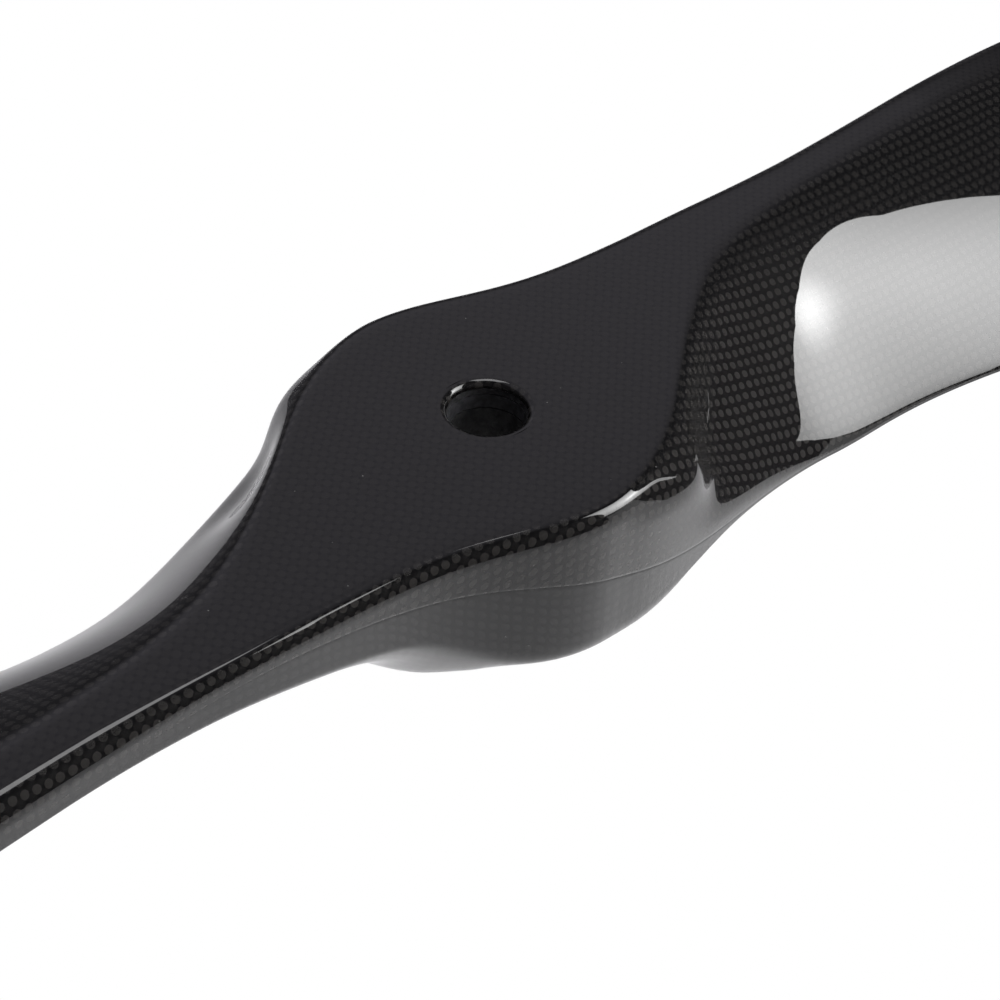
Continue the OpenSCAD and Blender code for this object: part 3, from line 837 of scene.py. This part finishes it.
def panel(name, az, el, distance, width, height, radiance):
    """A soft rectangular lamp facing the hub."""
    data = bpy.data.lights.new(name, "AREA")
    data.shape = "RECTANGLE"
    data.size, data.size_y = width, height
    data.energy = radiance * math.pi * width * height
    ob = bpy.data.objects.new(name, data)
    ob.visible_camera = False
    ob.location = CENTRE + heading(az, el) * distance
    ob.rotation_mode = "QUATERNION"
    ob.rotation_quaternion = (-heading(az, el)).to_track_quat("-Z", "Y")
    bpy.context.scene.collection.objects.link(ob)
    return ob


panel("bounce_card", 141, 0, distance=1.2, width=0.5, height=0.7, radiance=0.85)
panel("overhead", 40, 86, distance=0.6, width=0.3, height=0.3, radiance=4.0)
# this one hangs below the part and lights the floor, not the hub
wash = panel("floor_wash", WASH_AZ, -38, distance=0.28, width=0.2, height=0.3, radiance=2.6)
wash.rotation_quaternion = Quaternion((0, 0, 1), -math.radians(WASH_AZ))


def switch(tree, share, low, high):
    """Mix two shaders by a socket's value."""
    node = tree.nodes.new("ShaderNodeMixShader")
    tree.links.new(share, node.inputs[0])
    tree.links.new(low.outputs[0], node.inputs[1])
    tree.links.new(high.outputs[0], node.inputs[2])
    return node


def seen_white(tree, lit, kind, output, one_sided=False):
    """Plain white for the camera, so the backdrop is even; everything else meets the lit shader."""
    plain = tree.nodes.new(kind)
    plain.inputs["Color"].default_value = (1, 1, 1, 1)
    if one_sided:
        back_face = tree.nodes.new("ShaderNodeNewGeometry").outputs["Backfacing"]
        plain = switch(tree, back_face, plain, tree.nodes.new("ShaderNodeBsdfTransparent"))
    seen = switch(tree, tree.nodes.new("ShaderNodeLightPath").outputs["Is Camera Ray"], lit, plain)
    tree.links.new(seen.outputs[0], tree.nodes[output].inputs["Surface"])


def diffuser():
    """Glowing cloth of the softbox, with its lamp showing through near one edge."""
    mat, tree, bsdf = new_material("diffuser")
    tree.nodes.remove(bsdf)
    place = tree.nodes.new("ShaderNodeTexCoord").outputs["Object"]

    def spot(x, y, reach):
        """1 at the point x, y of the diffuser, fading out at the given reach, in box distances."""
        gap = tree.nodes.new("ShaderNodeVectorMath")
        gap.operation = "DISTANCE"
        gap.inputs[1].default_value = (x * BOX_D, y * BOX_D, 0)
        tree.links.new(place, gap.inputs[0])
        return Shade(tree, gap.outputs["Value"]).step(reach * BOX_D, 0.0)

    wide, hot = spot(-0.16, 0.08, reach=0.6), spot(-0.2, 0.0, reach=0.14)
    strength = wide * 9.0 + hot * 9.0 + 3.6
    lamp = tree.nodes.new("ShaderNodeEmission")
    tree.links.new(strength.socket, lamp.inputs["Strength"])
    tree.links.new(lamp.outputs[0], tree.nodes["Material Output"].inputs["Surface"])
    return mat


def staged_polygon(name, points, mat):
    """A flat piece of the studio, with one face."""
    mesh = bpy.data.meshes.new(name)
    mesh.from_pydata(points, [], [tuple(range(len(points)))])
    mesh.materials.append(mat)
    ob = bpy.data.objects.new(name, mesh)
    bpy.context.scene.collection.objects.link(ob)
    return ob


box = staged_polygon("softbox", [(x * BOX_D, y * BOX_D, 0) for x, y in BOX_OUTLINE], diffuser())
box.location = CENTRE + heading(BOX_AZ, BOX_EL) * BOX_D
box.rotation_mode = "QUATERNION"
box.rotation_quaternion = heading(BOX_AZ, BOX_EL).to_track_quat("-Z", "Y")
box.visible_camera = False

floor_mat, floor_tree, floor_bsdf = new_material("pale_floor")
floor_bsdf.inputs["Base Color"].default_value = (0.86, 0.86, 0.86, 1)
floor_bsdf.inputs["Roughness"].default_value = 0.9
floor_bsdf.inputs["Specular IOR Level"].default_value = 0.0
seen_white(floor_tree, floor_bsdf, "ShaderNodeEmission", "Material Output", one_sided=True)
staged_polygon("floor", [(x * FLOOR_HALF, y * FLOOR_HALF, FLOOR_Z)
                         for x, y in ((-1, -1), (1, -1), (1, 1), (-1, 1))], floor_mat)

# dim room, brighter towards the far upper side
world = bpy.data.worlds.new("studio")
bpy.context.scene.world = world
world.use_nodes = True
room = world.node_tree
back = room.nodes["Background"]
ray = room.nodes.new("ShaderNodeTexCoord")
towards = room.nodes.new("ShaderNodeVectorMath")
towards.operation = "DOT_PRODUCT"
towards.inputs[1].default_value = heading(GLOW_AZ, GLOW_EL)
room.links.new(ray.outputs["Generated"], towards.inputs[0])
glow = Shade(room, towards.outputs["Value"]).step(*GLOW_EDGE)
room.links.new(mix_colour(room, glow, ROOM_COLOUR, GLOW_COLOUR), back.inputs["Color"])
seen_white(room, back, "ShaderNodeBackground", "World Output")

view = bpy.context.scene.view_settings
view.view_transform = "Standard"
view.look = "None"
view.exposure = 0.0
view.gamma = 1.0
